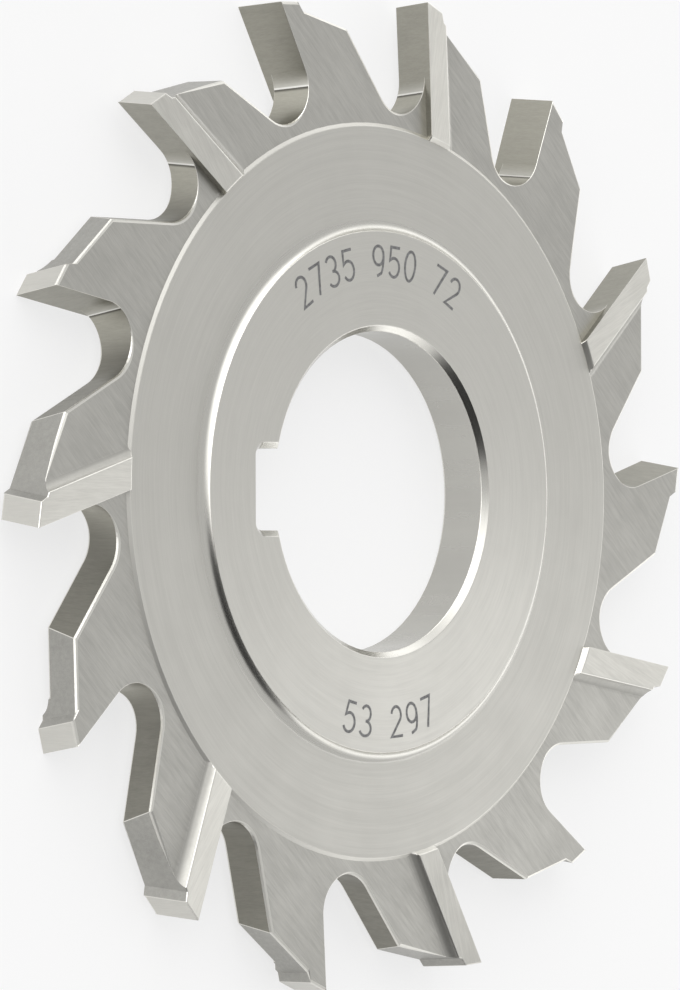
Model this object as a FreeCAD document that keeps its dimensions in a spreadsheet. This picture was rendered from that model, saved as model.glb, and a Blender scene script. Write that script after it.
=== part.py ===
import FreeCAD, Part
import os

import Sketcher

# Side and face milling cutter with staggered teeth, one solid of high-speed steel.
#
# Frame: the bore axis is Z and the origin is the middle of the bore. The keyway points
# towards -X. Seen from +Z the rake faces look counter-clockwise, so a tooth trails away
# clockwise from its cutting edge.
#
# Every second tooth carries its side land on the +Z face and leans one way, the teeth
# between carry theirs on the -Z face and lean the other way.

SIZES = {
    # The blank
    "outside_diameter": 100.0,
    "cutting_width": 6.0,
    "hub_diameter": 52.0,
    "hub_fillet": 1.25,
    "ring_diameter": 73.0,
    "ring_thickness": 4.5,
    "ring_slope": 0.35,
    "tooth_thickness": 4.0,
    # The bore and its keyway
    "bore_diameter": 32.0,
    "key_width": 8.0,
    "key_height": 34.8,
    "key_corner": 0.8,
    "bore_chamfer": 0.6,
    # The teeth
    "tooth_count": 14,
    "first_tooth_angle": 81.25,
    "helix_angle": 10.0,
    "rake_angle": 12.0,
    # The gullets
    "gullet_depth": 11.8,
    "gullet_radius": 3.75,
    "gullet_back_angle": 42.0,
    # The tops of the teeth
    "land_width": 2.5,
    "land_relief": 13.5,
    "step_run": 0.4,
    "step_drop": 0.9,
    "back_relief": 28.0,
    # The side lands
    "side_land_width": 2.8,
    "side_land_foot": 1.5,
    "side_land_dish": 1.0,
    "side_land_end": 0.35,
    # Metal left on the turned rim and on the side lands for the last cuts to remove
    "allowance": 0.5,
    # What a cutting outline runs past the metal that it removes
    "overrun": 2.0,
}

ROOT_POINT = (-1, 1)
HORIZONTAL_AXIS = -1
VERTICAL_AXIS = -2
START, END, CENTRE = range(1, 4)

doc = FreeCAD.newDocument("side_and_face_cutter")
sheet = doc.addObject("Spreadsheet::Sheet", "sizes")
for row, (alias, value) in enumerate(SIZES.items(), start=1):
    sheet.set("A%d" % row, alias)
    sheet.set("B%d" % row, str(value))
    sheet.setAlias("B%d" % row, alias)
doc.recompute()

body = doc.addObject("PartDesign::Body", "side_and_face_cutter")
body.Label = "side_and_face_cutter"


def value_of(expression):
    """The number that an expression on the sheet gives."""
    result = sheet.evalExpression(expression)
    return float(getattr(result, "Value", result))


def origin_feature(role):
    """One of the body's own planes or axes."""
    return next(item for item in body.Origin.OriginFeatures if item.Role == role)


def new_sketch(name, plane):
    """A sketch lying on one of the body's own planes."""
    sketch = body.newObject("Sketcher::SketchObject", name)
    sketch.AttachmentSupport = (origin_feature(plane), [""])
    sketch.MapMode = "FlatFace"
    return sketch


def vector(point):
    return FreeCAD.Vector(point[0], point[1], 0)


def add_line(sketch, start, end):
    return sketch.addGeometry(Part.LineSegment(vector(start), vector(end)), False)


def add_arc(sketch, centre, radius, start, end):
    """An arc that runs counter-clockwise about its centre from one point to another."""
    circle = Part.Circle(vector(centre), FreeCAD.Vector(0, 0, 1), radius)
    return sketch.addGeometry(
        Part.ArcOfCircle(circle, circle.parameter(vector(start)), circle.parameter(vector(end))), False
    )


def constrain(sketch, kind, *references):
    return sketch.addConstraint(Sketcher.Constraint(kind, *references))


def join(sketch, *ends):
    """Joins the ends of neighbouring curves, given as (curve, end) pairs, two by two."""
    for first, second in zip(ends[0::2], ends[1::2]):
        constrain(sketch, "Coincident", *first, *second)


def dimension(sketch, name, kind, references, expression):
    """A dimension whose size is an expression on the sheet."""
    index = constrain(sketch, kind, *references, value_of(expression))
    sketch.renameConstraint(index, name)
    sketch.setExpression("Constraints." + name, expression)


def angle(sketch, name, references, expression):
    """An angle whose size is an expression, in degrees, on the sheet."""
    size = FreeCAD.Units.Quantity("%r deg" % value_of(expression))
    index = constrain(sketch, "Angle", *references, size)
    sketch.renameConstraint(index, name)
    sketch.setExpression("Constraints." + name, "(%s) * 1 deg" % expression)


def mirror_to_far_side(feature, name):
    """The same feature again on the other side of the middle plane."""
    mirror = body.newObject("PartDesign::Mirrored", name)
    mirror.Originals = [feature]
    mirror.MirrorPlane = (origin_feature("XY_Plane"), [""])
    body.Tip = mirror


def repeat_round_axis(feature, name):
    """The same feature again on every second tooth."""
    pattern = body.newObject("PartDesign::PolarPattern", name)
    pattern.Originals = [feature]
    pattern.Axis = (origin_feature("Z_Axis"), [""])
    pattern.Angle = 360
    pattern.setExpression("Occurrences", "sizes.tooth_count / 2")
    body.Tip = pattern


def revolve(kind, name, sketch):
    """A full turn of a sketch about its own upright axis, which is the bore axis."""
    feature = body.newObject("PartDesign::" + kind, name)
    feature.Profile = sketch
    feature.ReferenceAxis = (sketch, ["V_Axis"])
    feature.Angle = 360
    return feature


def cut_leaning(name, sketch, side):
    """Cuts a tooth's sketch through the whole width, along the direction of its cutting edge."""
    pocket = body.newObject("PartDesign::Pocket", name)
    pocket.Profile = sketch
    pocket.Type = "Length"
    pocket.setExpression("Length", "sizes.cutting_width + 2 * sizes.overrun")
    pocket.AlongSketchNormal = True
    pocket.UseCustomVector = True
    pocket.setExpression("Direction", leaning_direction(side))
    return pocket


def make_blank():
    """Turned disc: hub, thinner ring round it and the still thinner rim that bears the teeth."""
    rim = value_of("sizes.outside_diameter / 2 + sizes.allowance")
    ring = value_of("sizes.ring_diameter / 2")
    hub = value_of("sizes.hub_diameter / 2")
    rim_face = value_of("sizes.tooth_thickness / 2")
    ring_face = value_of("sizes.ring_thickness / 2")
    hub_face = value_of("sizes.cutting_width / 2")
    fillet = value_of("sizes.hub_fillet")
    slope = value_of("sizes.ring_slope")
    drop = hub_face - ring_face
    fillet_end = hub + (2 * fillet * drop - drop**2) ** 0.5

    sketch = new_sketch("blank_section", "XZ_Plane")
    outline = [
        (0, 0),
        (rim, 0),
        (rim, rim_face),
        (ring + slope, rim_face),
        (ring, ring_face),
        (fillet_end, ring_face),
    ]
    lines = [add_line(sketch, *ends) for ends in zip(outline, outline[1:])]
    bottom, outer, rim_side, ring_step, ring_side = lines
    hub_foot = (fillet_end, ring_face)
    hub_root = add_arc(sketch, (fillet_end, ring_face + fillet), fillet, (hub, hub_face), hub_foot)
    hub_side = add_line(sketch, (hub, hub_face), (0, hub_face))
    axis_side = add_line(sketch, (0, hub_face), (0, 0))

    for first, second in zip(lines, lines[1:]):
        join(sketch, (first, END), (second, START))
    join(sketch, (hub_root, START), (hub_side, START), (hub_side, END), (axis_side, START))
    join(sketch, (axis_side, END), (bottom, START), (bottom, START), ROOT_POINT)
    constrain(sketch, "Tangent", ring_side, END, hub_root, END)
    for line in (bottom, rim_side, ring_side, hub_side):
        constrain(sketch, "Horizontal", line)
    for line in (outer, axis_side):
        constrain(sketch, "Vertical", line)

    rim_radius = "sizes.outside_diameter / 2 + sizes.allowance"
    dimension(sketch, "rim_radius", "DistanceX", ROOT_POINT + (bottom, END), rim_radius)
    dimension(sketch, "rim_face", "DistanceY", ROOT_POINT + (outer, END), "sizes.tooth_thickness / 2")
    dimension(sketch, "ring_slope", "DistanceX", (ring_step, END, ring_step, START), "sizes.ring_slope")
    dimension(sketch, "ring_radius", "DistanceX", ROOT_POINT + (ring_step, END), "sizes.ring_diameter / 2")
    dimension(sketch, "ring_face", "DistanceY", ROOT_POINT + (ring_step, END), "sizes.ring_thickness / 2")
    dimension(sketch, "hub_fillet", "Radius", (hub_root,), "sizes.hub_fillet")
    dimension(sketch, "hub_radius", "DistanceX", ROOT_POINT + (hub_side, START), "sizes.hub_diameter / 2")
    dimension(sketch, "hub_face", "DistanceY", ROOT_POINT + (hub_side, START), "sizes.cutting_width / 2")
    mirror_to_far_side(revolve("Revolution", "blank", sketch), "blank_far_half")


# A tooth's own axes, in its sketches: X points to where the tooth trails away, Y points
# outwards through its cutting edge and the rake line passes through the edge at (0, rim).
# side is 1 for the teeth with a side land on the +Z face and -1 for the others.


def tooth_angle(side):
    """The angle from +X, in degrees, of the first tooth of one hand."""
    if side > 0:
        return "sizes.first_tooth_angle"
    return "(sizes.first_tooth_angle + 360 / sizes.tooth_count)"


def leaning_direction(side):
    """Along the cutting edge: the end of the edge that carries the side land leads."""
    lean = "tan(sizes.helix_angle * 1 deg)"
    turn = "%s * 1 deg" % tooth_angle(side)
    if side > 0:
        return "vector(-%s * sin(%s); %s * cos(%s); 1)" % (lean, turn, lean, turn)
    return "vector(%s * sin(%s); -%s * cos(%s); 1)" % (lean, turn, lean, turn)


def new_tooth_sketch(name, side):
    """A sketch turned to a tooth's own axes, on a plane behind the -Z face.

    Its origin lies on the line that passes through the middle of the bore along the
    cutting edge's direction, so that a cut along that direction is true to the drawn
    sizes in the middle of the width.
    """
    sketch = new_sketch(name, "XY_Plane")
    start = "(-sizes.cutting_width / 2 - sizes.overrun) * %s" % leaning_direction(side)
    turn = "rotation(vector(0; 0; 1); %s - 90)" % tooth_angle(side)
    sketch.setExpression("AttachmentOffset", "placement(%s; %s)" % (start, turn))
    return sketch


def add_side_lands(side, name):
    """Narrow raised bars along the rake faces, with a hollow foot, on one face of the cutter.

    The section lies across the rake line just outside the rim, with X away from the rake
    face and Y along the bore axis. Its front wall is the rake face itself.
    """
    lean = "tan(sizes.helix_angle * 1 deg) * cos(sizes.rake_angle * 1 deg)"
    top = "(sizes.cutting_width / 2 + sizes.allowance)"
    bottom = "(sizes.tooth_thickness / 2 - sizes.allowance)"
    height = "(sizes.cutting_width - sizes.tooth_thickness) / 2"
    foot_run = "sqrt(2 * sizes.side_land_foot * %s - (%s) ^ 2)" % (height, height)
    foot = "(sizes.side_land_width - sizes.cutting_width / 2 * %s + %s)" % (lean, foot_run)
    front_lean, top_z, bottom_z, foot_x = (value_of(size) for size in (lean, top, bottom, foot))
    body_z, radius = value_of("sizes.tooth_thickness / 2"), value_of("sizes.side_land_foot")
    crest_x = foot_x - (radius**2 - (body_z + radius - top_z) ** 2) ** 0.5

    sketch = new_sketch(name + "_section", "XY_Plane")
    across = "(%s + sizes.rake_angle)" % tooth_angle(side)
    start = "vector({0} * cos({2}) + {1} * cos({3}); {0} * sin({2}) + {1} * sin({3}); 0)".format(
        "sizes.outside_diameter / 2", "sizes.overrun", tooth_angle(side) + " * 1 deg", across + " * 1 deg"
    )
    turn = "rotation(vector(0; 0; 1); %s - 90) * rotation(vector(1; 0; 0); 90)" % across
    sketch.setExpression("AttachmentOffset", "placement(%s; %s)" % (start, turn))

    front_bottom = (-bottom_z * front_lean, side * bottom_z)
    front_top = (-top_z * front_lean, side * top_z)
    crest = (crest_x, side * top_z)
    foot_point = (foot_x, side * body_z)
    foot_bottom = (foot_x, side * bottom_z)
    front = add_line(sketch, front_bottom, front_top)
    cap = add_line(sketch, front_top, crest)
    arc_points = (crest, foot_point) if side > 0 else (foot_point, crest)
    hollow = add_arc(sketch, (foot_x, side * (body_z + radius)), radius, *arc_points)
    crest_end, foot_end = (START, END) if side > 0 else (END, START)
    heel = add_line(sketch, foot_point, foot_bottom)
    base = add_line(sketch, foot_bottom, front_bottom)

    join(sketch, (front, END), (cap, START), (cap, END), (hollow, crest_end), (hollow, foot_end), (heel, START))
    join(sketch, (heel, END), (base, START), (base, END), (front, START))
    constrain(sketch, "Horizontal", cap)
    constrain(sketch, "Horizontal", base)
    constrain(sketch, "Vertical", heel)
    constrain(sketch, "PointOnObject", *ROOT_POINT, front)
    constrain(sketch, "Vertical", hollow, CENTRE, heel, START)
    dimension(sketch, "foot_radius", "Radius", (hollow,), "sizes.side_land_foot")
    dimension(sketch, "front_lean", "DistanceX", (front, END, front, START), "(%s - %s) * %s" % (top, bottom, lean))
    dimension(sketch, "foot_distance", "DistanceX", ROOT_POINT + (heel, START), foot)
    for size_name, end, size in (
        ("top_height", (front, END), top),
        ("bottom_height", (front, START), bottom),
        ("foot_height", (heel, START), "sizes.tooth_thickness / 2"),
    ):
        dimension(sketch, size_name, "DistanceY", ROOT_POINT + end if side > 0 else end + ROOT_POINT, size)

    pad = body.newObject("PartDesign::Pad", name)
    pad.Profile = sketch
    pad.setExpression(
        "Length",
        "2 * sizes.overrun + sizes.outside_diameter / 2 * cos(sizes.rake_angle * 1 deg)"
        " - sqrt((sizes.ring_diameter / 2) ^ 2"
        " - (sizes.outside_diameter / 2 * sin(sizes.rake_angle * 1 deg)) ^ 2)",
    )
    repeat_round_axis(pad, name + "_all_round")


def dish_side_lands():
    """Turns the side lands hollow, so that they clear the work behind their outer corners.

    The same cut ends them with a short slope where the ring begins.
    """
    rim = value_of("sizes.outside_diameter / 2")
    ring = value_of("sizes.ring_diameter / 2")
    ring_face = value_of("sizes.ring_thickness / 2")
    hub_face = value_of("sizes.cutting_width / 2")
    end_run = value_of("sizes.side_land_end")
    overrun = value_of("sizes.overrun")
    fall = value_of("tan(sizes.side_land_dish * 1 deg)")

    sketch = new_sketch("dish_section", "XZ_Plane")
    outline = [
        (ring - 2 * overrun, ring_face),
        (ring, ring_face),
        (ring + end_run, hub_face - (rim - ring - end_run) * fall),
        (rim + 2 * overrun, hub_face + 2 * overrun * fall),
        (rim + 2 * overrun, hub_face + overrun),
        (ring - 2 * overrun, hub_face + overrun),
    ]
    lines = [add_line(sketch, *ends) for ends in zip(outline, outline[1:] + outline[:1])]
    ring_side, slope, dish, outer, top, inner = lines
    edge_point = sketch.addGeometry(Part.Point(vector((rim, hub_face))), True)
    for first, second in zip(lines, lines[1:] + lines[:1]):
        join(sketch, (first, END), (second, START))
    for line in (ring_side, top):
        constrain(sketch, "Horizontal", line)
    for line in (outer, inner):
        constrain(sketch, "Vertical", line)
    constrain(sketch, "PointOnObject", edge_point, START, dish)

    dimension(sketch, "edge_radius", "DistanceX", ROOT_POINT + (edge_point, START), "sizes.outside_diameter / 2")
    dimension(sketch, "edge_height", "DistanceY", ROOT_POINT + (edge_point, START), "sizes.cutting_width / 2")
    angle(sketch, "dish_angle", (dish,), "sizes.side_land_dish")
    dimension(sketch, "ring_radius", "DistanceX", ROOT_POINT + (slope, START), "sizes.ring_diameter / 2")
    dimension(sketch, "ring_face", "DistanceY", ROOT_POINT + (slope, START), "sizes.ring_thickness / 2")
    dimension(sketch, "end_run", "DistanceX", (slope, START, slope, END), "sizes.side_land_end")
    dimension(sketch, "inner_reach", "DistanceX", (inner, END, slope, START), "2 * sizes.overrun")
    dimension(sketch, "outer_reach", "DistanceX", (edge_point, START, outer, START), "2 * sizes.overrun")
    dimension(sketch, "top_reach", "DistanceY", (edge_point, START, top, START), "sizes.overrun")
    mirror_to_far_side(revolve("Groove", "side_land_dish", sketch), "side_land_dish_far")


def relieve_tooth_tops(side, name):
    """Cuts the land behind each cutting edge, the step down from it and the long back relief."""
    rim = value_of("sizes.outside_diameter / 2")
    heel = (
        value_of("sizes.land_width * cos(sizes.land_relief * 1 deg)"),
        value_of("sizes.outside_diameter / 2 - sizes.land_width * sin(sizes.land_relief * 1 deg)"),
    )
    foot = (heel[0] + value_of("sizes.step_run"), heel[1] - value_of("sizes.step_drop"))
    reach = "sizes.outside_diameter / 2 * sin(360 deg / sizes.tooth_count) - 2 * sizes.gullet_radius"
    reach_x = value_of(reach)
    back_y = foot[1] - (reach_x - foot[0]) * value_of("tan(sizes.back_relief * 1 deg)")
    overrun = value_of("sizes.overrun")

    sketch = new_tooth_sketch(name + "_outline", side)
    outline = [
        (0, rim),
        heel,
        foot,
        (reach_x, back_y),
        (reach_x, rim + 2 * overrun),
        (-2 * overrun, rim + 2 * overrun),
    ]
    lines = [add_line(sketch, *ends) for ends in zip(outline, outline[1:] + outline[:1])]
    land, step, back, outer, top, front = lines
    for first, second in zip(lines, lines[1:] + lines[:1]):
        join(sketch, (first, END), (second, START))
    constrain(sketch, "Horizontal", top)
    constrain(sketch, "Vertical", outer)
    constrain(sketch, "PointOnObject", land, START, VERTICAL_AXIS)

    dimension(sketch, "edge_radius", "DistanceY", ROOT_POINT + (land, START), "sizes.outside_diameter / 2")
    dimension(sketch, "land_width", "Distance", (land,), "sizes.land_width")
    angle(sketch, "land_relief", (land,), "-sizes.land_relief")
    dimension(sketch, "step_run", "DistanceX", (step, START, step, END), "sizes.step_run")
    dimension(sketch, "step_drop", "DistanceY", (step, END, step, START), "sizes.step_drop")
    angle(sketch, "back_relief", (back,), "-sizes.back_relief")
    dimension(sketch, "back_reach", "DistanceX", ROOT_POINT + (back, END), reach)
    dimension(sketch, "top_reach", "DistanceY", (land, START, top, START), "2 * sizes.overrun")
    dimension(sketch, "front_reach", "DistanceX", (front, START, land, START), "2 * sizes.overrun")
    repeat_round_axis(cut_leaning(name, sketch, side), name + "_all_round")


def cut_gullets(side, name):
    """Cuts the gaps in front of the teeth: rake face, round root and the back of the next tooth."""
    rim = value_of("sizes.outside_diameter / 2")
    radius = value_of("sizes.gullet_radius")
    rake_sin = value_of("sin(sizes.rake_angle * 1 deg)")
    rake_cos = value_of("cos(sizes.rake_angle * 1 deg)")
    back_sin = value_of("sin(sizes.gullet_back_angle * 1 deg)")
    back_cos = value_of("cos(sizes.gullet_back_angle * 1 deg)")
    overrun = value_of("sizes.overrun")
    centre_y = rim - value_of("sizes.gullet_depth") + radius
    root_y = centre_y + radius * rake_sin
    root_x = (rim - root_y) * rake_sin / rake_cos
    centre = (root_x - radius * rake_cos, centre_y)
    root = (root_x, root_y)
    back_root = (centre[0] - radius * back_sin, centre[1] - radius * back_cos)
    front_top = (-2 * overrun * rake_sin / rake_cos, rim + 2 * overrun)
    back_top = (back_root[0] - (rim - back_root[1]) * back_cos / back_sin, rim)

    sketch = new_tooth_sketch(name + "_outline", side)
    rake = add_line(sketch, root, front_top)
    arc = add_arc(sketch, centre, radius, back_root, root)
    back = add_line(sketch, back_root, back_top)
    closing = add_line(sketch, front_top, back_top)
    edge_point = sketch.addGeometry(Part.Point(vector((0, rim))), True)
    join(sketch, (rake, END), (closing, START), (closing, END), (back, END))
    constrain(sketch, "Tangent", rake, START, arc, END)
    constrain(sketch, "Tangent", back, START, arc, START)
    constrain(sketch, "PointOnObject", edge_point, START, VERTICAL_AXIS)
    constrain(sketch, "PointOnObject", edge_point, START, rake)

    dimension(sketch, "edge_radius", "DistanceY", ROOT_POINT + (edge_point, START), "sizes.outside_diameter / 2")
    angle(sketch, "rake_angle", (rake,), "90 + sizes.rake_angle")
    angle(sketch, "back_angle", (back,), "180 - sizes.gullet_back_angle")
    dimension(sketch, "root_radius", "Radius", (arc,), "sizes.gullet_radius")
    root_depth = "sizes.gullet_depth - sizes.gullet_radius"
    dimension(sketch, "root_depth", "DistanceY", (arc, CENTRE, edge_point, START), root_depth)
    dimension(sketch, "front_reach", "DistanceY", (edge_point, START, rake, END), "2 * sizes.overrun")
    dimension(sketch, "back_reach", "DistanceY", ROOT_POINT + (back, END), "sizes.outside_diameter / 2")
    repeat_round_axis(cut_leaning(name, sketch, side), name + "_all_round")


def cut_bore():
    """Cuts the bore with its keyway, and chamfers both alike on the two faces of the hub."""
    radius = value_of("sizes.bore_diameter / 2")
    half_key = value_of("sizes.key_width / 2")
    corner = value_of("sizes.key_corner")
    key_floor = value_of("sizes.bore_diameter / 2 - sizes.key_height")
    corner_x = key_floor + corner
    corner_y = half_key - corner
    mouth = -((radius**2 - half_key**2) ** 0.5)

    sketch = new_sketch("bore_outline", "XY_Plane")
    bore = add_arc(sketch, (0, 0), radius, (mouth, -half_key), (mouth, half_key))
    upper = add_line(sketch, (mouth, half_key), (corner_x, half_key))
    upper_corner = add_arc(sketch, (corner_x, corner_y), corner, (corner_x, half_key), (key_floor, corner_y))
    floor = add_line(sketch, (key_floor, corner_y), (key_floor, -corner_y))
    lower_corner = add_arc(sketch, (corner_x, -corner_y), corner, (key_floor, -corner_y), (corner_x, -half_key))
    lower = add_line(sketch, (corner_x, -half_key), (mouth, -half_key))
    join(sketch, (bore, CENTRE), ROOT_POINT, (bore, END), (upper, START), (lower, END), (bore, START))
    constrain(sketch, "Tangent", upper, END, upper_corner, START)
    constrain(sketch, "Tangent", upper_corner, END, floor, START)
    constrain(sketch, "Tangent", floor, END, lower_corner, START)
    constrain(sketch, "Tangent", lower_corner, END, lower, START)
    constrain(sketch, "Horizontal", upper)
    constrain(sketch, "Horizontal", lower)
    constrain(sketch, "Symmetric", floor, START, floor, END, HORIZONTAL_AXIS)
    constrain(sketch, "Equal", upper_corner, lower_corner)

    dimension(sketch, "bore_radius", "Radius", (bore,), "sizes.bore_diameter / 2")
    dimension(sketch, "key_width", "DistanceY", (lower, END, upper, START), "sizes.key_width")
    key_reach = "sizes.key_height - sizes.bore_diameter / 2"
    dimension(sketch, "key_floor", "DistanceX", (floor, START) + ROOT_POINT, key_reach)
    dimension(sketch, "key_corner", "Radius", (upper_corner,), "sizes.key_corner")
    pocket = body.newObject("PartDesign::Pocket", "bore")
    pocket.Profile = sketch
    pocket.SideType = "Symmetric"
    pocket.Type = "ThroughAll"
    doc.recompute()

    face = value_of("sizes.cutting_width / 2")
    hub = value_of("sizes.hub_diameter / 2")
    rims = []
    for number, edge in enumerate(pocket.Shape.Edges, start=1):
        box = edge.BoundBox
        on_face = box.ZLength < 1e-6 and abs(abs(box.ZMin) - face) < 1e-6
        if on_face and max(vertex.Point.x**2 + vertex.Point.y**2 for vertex in edge.Vertexes) < (0.99 * hub) ** 2:
            rims.append("Edge%d" % number)
    chamfer = body.newObject("PartDesign::Chamfer", "bore_chamfer")
    chamfer.Base = (pocket, rims)
    chamfer.setExpression("Size", "sizes.bore_chamfer")
    body.Tip = chamfer


make_blank()
add_side_lands(1, "near_side_land")
add_side_lands(-1, "far_side_land")
dish_side_lands()
relieve_tooth_tops(1, "near_tooth_top")
relieve_tooth_tops(-1, "far_tooth_top")
cut_gullets(1, "near_gullet")
cut_gullets(-1, "far_gullet")
cut_bore()
doc.recompute()

for item in doc.Objects:
    if "Invalid" in item.State or "Error" in item.State:
        raise RuntimeError("%s failed: %s" % (item.Name, item.State))
shape = body.Shape
if shape.isNull() or not shape.isValid() or len(shape.Solids) != 1:
    raise RuntimeError("%s is not one sound solid" % body.Label)
os.makedirs("parts", exist_ok=True)
shape.exportStep("parts/%s.step" % body.Label)
print("%s: %.1f mm3, box %s" % (body.Label, shape.Volume, shape.BoundBox))
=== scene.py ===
from math import cos, hypot, pi, radians, sin, tau

import bmesh
import bpy
import numpy as np
from mathutils import Matrix, Vector


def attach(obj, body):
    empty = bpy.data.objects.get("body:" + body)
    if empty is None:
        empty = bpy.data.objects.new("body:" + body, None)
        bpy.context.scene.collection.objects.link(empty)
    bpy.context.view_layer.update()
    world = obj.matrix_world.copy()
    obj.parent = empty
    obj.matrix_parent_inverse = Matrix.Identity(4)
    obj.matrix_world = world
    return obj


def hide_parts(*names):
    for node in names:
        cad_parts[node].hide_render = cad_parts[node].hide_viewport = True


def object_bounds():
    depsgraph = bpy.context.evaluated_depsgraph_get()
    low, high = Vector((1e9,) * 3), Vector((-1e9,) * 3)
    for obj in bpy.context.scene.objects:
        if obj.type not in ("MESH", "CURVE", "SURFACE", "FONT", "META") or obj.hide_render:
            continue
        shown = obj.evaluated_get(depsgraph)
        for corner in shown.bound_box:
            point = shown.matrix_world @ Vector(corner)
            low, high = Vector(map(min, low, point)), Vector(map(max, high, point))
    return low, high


bl_info = {
    "name": "Side and Face Cutter",
    "version": (1, 0, 0),
    "blender": (4, 5, 0),
    "location": "3D View > Sidebar > Cutter",
    "description": "Dresses the packed side and face cutter in ground steel on a pale floor",
    "category": "Object",
}

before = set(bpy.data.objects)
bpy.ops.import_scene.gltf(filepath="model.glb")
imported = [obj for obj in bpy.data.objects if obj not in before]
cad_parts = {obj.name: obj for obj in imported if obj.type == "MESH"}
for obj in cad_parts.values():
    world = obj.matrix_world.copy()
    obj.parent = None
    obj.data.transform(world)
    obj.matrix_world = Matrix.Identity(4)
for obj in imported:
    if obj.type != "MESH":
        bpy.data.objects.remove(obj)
NODE = "side_and_face_cutter"
CAD_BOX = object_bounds()
FLOOR_Z = CAD_BOX[0].z
MM = 0.001

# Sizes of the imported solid, in metres and radians
TIP_RADIUS = 50.0 * MM
HUB_RADIUS = 26.0 * MM
HUB_HEIGHT = 3.0 * MM
RING_RADIUS = 36.5 * MM
RING_HEIGHT = 2.25 * MM
TOOTH_HEIGHT = 2.0 * MM
TEETH = 14
FIRST_TOOTH = radians(81.25)
HELIX = radians(10.0)
RAKE = radians(12.0)
GULLET_DEPTH = 11.8 * MM
GULLET_RADIUS = 3.75 * MM
RAKE_LENGTH = (GULLET_DEPTH - GULLET_RADIUS - GULLET_RADIUS * sin(RAKE)) / cos(RAKE)

# The middle of the arc from the hub down to the ring: distance from the axis, and height
FILLET_CENTRE = (27.1456 * MM, 3.5 * MM)

# Limits that tell its faces and edges apart
NEAR = 0.01 * MM
TEETH_FROM = RING_RADIUS - 0.2 * MM
SLOPE_TO = RING_RADIUS + 0.4 * MM
BACK_FROM = 43.0 * MM
ROOT_TO = 46.0 * MM
ONLY_BACK_FROM = 46.5 * MM
STEP_FROM = 47.5 * MM
LAND_FROM = 49.2 * MM
ROUND_BORE_TO = 16.05 * MM
BORE_TO = 19.5 * MM
CHAMFER_TO = 19.8 * MM
RAKE_FACE_AREA = 10.0 * MM * MM
SHORT_EDGE = 0.3 * MM
SHARP_TURN = radians(25.0)
WELDED_WITHIN = 0.002 * MM
FLAT_WITHIN = radians(0.4)

# The share of a wall's normal that looks ahead on a rake face, and on a step of a back
LEADING = 0.9
TRAILING = -0.8

# A rake face leans back, so its gullet starts this far behind the cutting edge, as a turn
GULLET_BEHIND = radians(3.9)

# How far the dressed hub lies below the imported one, which is the room for its numbers
MARK_DEPTH = 0.01 * MM

# The hollow that the corner of the grinding wheel leaves where each rake face ends
WHEEL_CORNER = 1.6 * MM
GRINDING_END = RAKE_LENGTH + WHEEL_CORNER


# Sizes and colours that a user would change


class CutterEdges(bpy.types.PropertyGroup):
    """How far each kind of edge is broken."""

    gullet_edge: bpy.props.FloatProperty(
        name="Gullet edge", description="Width of the broken edge round the gullets and backs",
        default=0.3 * MM, min=0.0, subtype="DISTANCE", unit="LENGTH", precision=5,
    )
    land_edge: bpy.props.FloatProperty(
        name="Side land edge", description="Width of the broken edge behind each side land",
        default=0.12 * MM, min=0.0, subtype="DISTANCE", unit="LENGTH", precision=5,
    )
    fine_edge: bpy.props.FloatProperty(
        name="Fine edge", description="Width of the edges that are left almost sharp",
        default=0.05 * MM, min=0.0, subtype="DISTANCE", unit="LENGTH", precision=5,
    )


class CutterFinish(bpy.types.PropertyGroup):
    """Colours of the ground faces."""

    steel: bpy.props.FloatVectorProperty(
        name="Ground steel", description="Colour of the turned and ground faces",
        default=(0.62, 0.61, 0.57), size=3, min=0.0, max=1.0, subtype="COLOR",
    )
    # Darker than the steel: painted shade of the gullets.
    gullet: bpy.props.FloatVectorProperty(
        name="Gullet steel", description="Colour of the ground walls of the gullets",
        default=(0.42, 0.408, 0.355), size=3, min=0.0, max=1.0, subtype="COLOR",
    )


class CutterNumbers(bpy.types.PropertyGroup):
    """The plain numbers on the hub."""

    upper_row: bpy.props.StringProperty(
        name="Upper row", description="Numerals over the bore: 0, 2, 3, 5, 7, 9 and spaces",
        default="2735 950 72",
    )
    lower_row: bpy.props.StringProperty(
        name="Lower row", description="Numerals under the bore: 0, 2, 3, 5, 7, 9 and spaces",
        default="53 297",
    )
    height: bpy.props.FloatProperty(
        name="Height", description="Height of the numerals",
        default=3.0 * MM, min=0.1 * MM, subtype="DISTANCE", unit="LENGTH", precision=5,
    )
    radius: bpy.props.FloatProperty(
        name="Radius", description="Distance of the rows from the bore axis",
        default=23.0 * MM, min=1.0 * MM, subtype="DISTANCE", unit="LENGTH", precision=5,
    )


class CutterStage(bpy.types.PropertyGroup):
    """Floor and light."""

    floor_colour: bpy.props.FloatVectorProperty(
        name="Floor", description="Colour of the floor",
        default=(0.9, 0.9, 0.9), size=3, min=0.0, max=1.0, subtype="COLOR",
    )
    whiteness: bpy.props.FloatProperty(
        name="Whiteness", description="How far the floor is shown as plain white",
        default=0.7, min=0.0, max=1.0, subtype="FACTOR",
    )
    ceiling: bpy.props.FloatProperty(
        name="Ceiling", description="Strength of the studio's ceiling", default=0.68, min=0.0,
    )
    low_wall: bpy.props.FloatProperty(
        name="Low wall", description="Strength that the wall adds near the floor",
        default=1.0, min=0.0,
    )
    bright_side: bpy.props.FloatProperty(
        name="Bright side", description="Strength that the bright side's screen adds",
        default=1.6, min=0.0,
    )
    dark_side: bpy.props.FloatProperty(
        name="Dark side", description="Share of the light that the dark screen leaves",
        default=0.06, min=0.0, max=1.0,
    )
    card: bpy.props.FloatProperty(
        name="Card", description="Brightness of the small card that lights the hub",
        default=0.52, min=0.0,
    )


# Node trees


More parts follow.
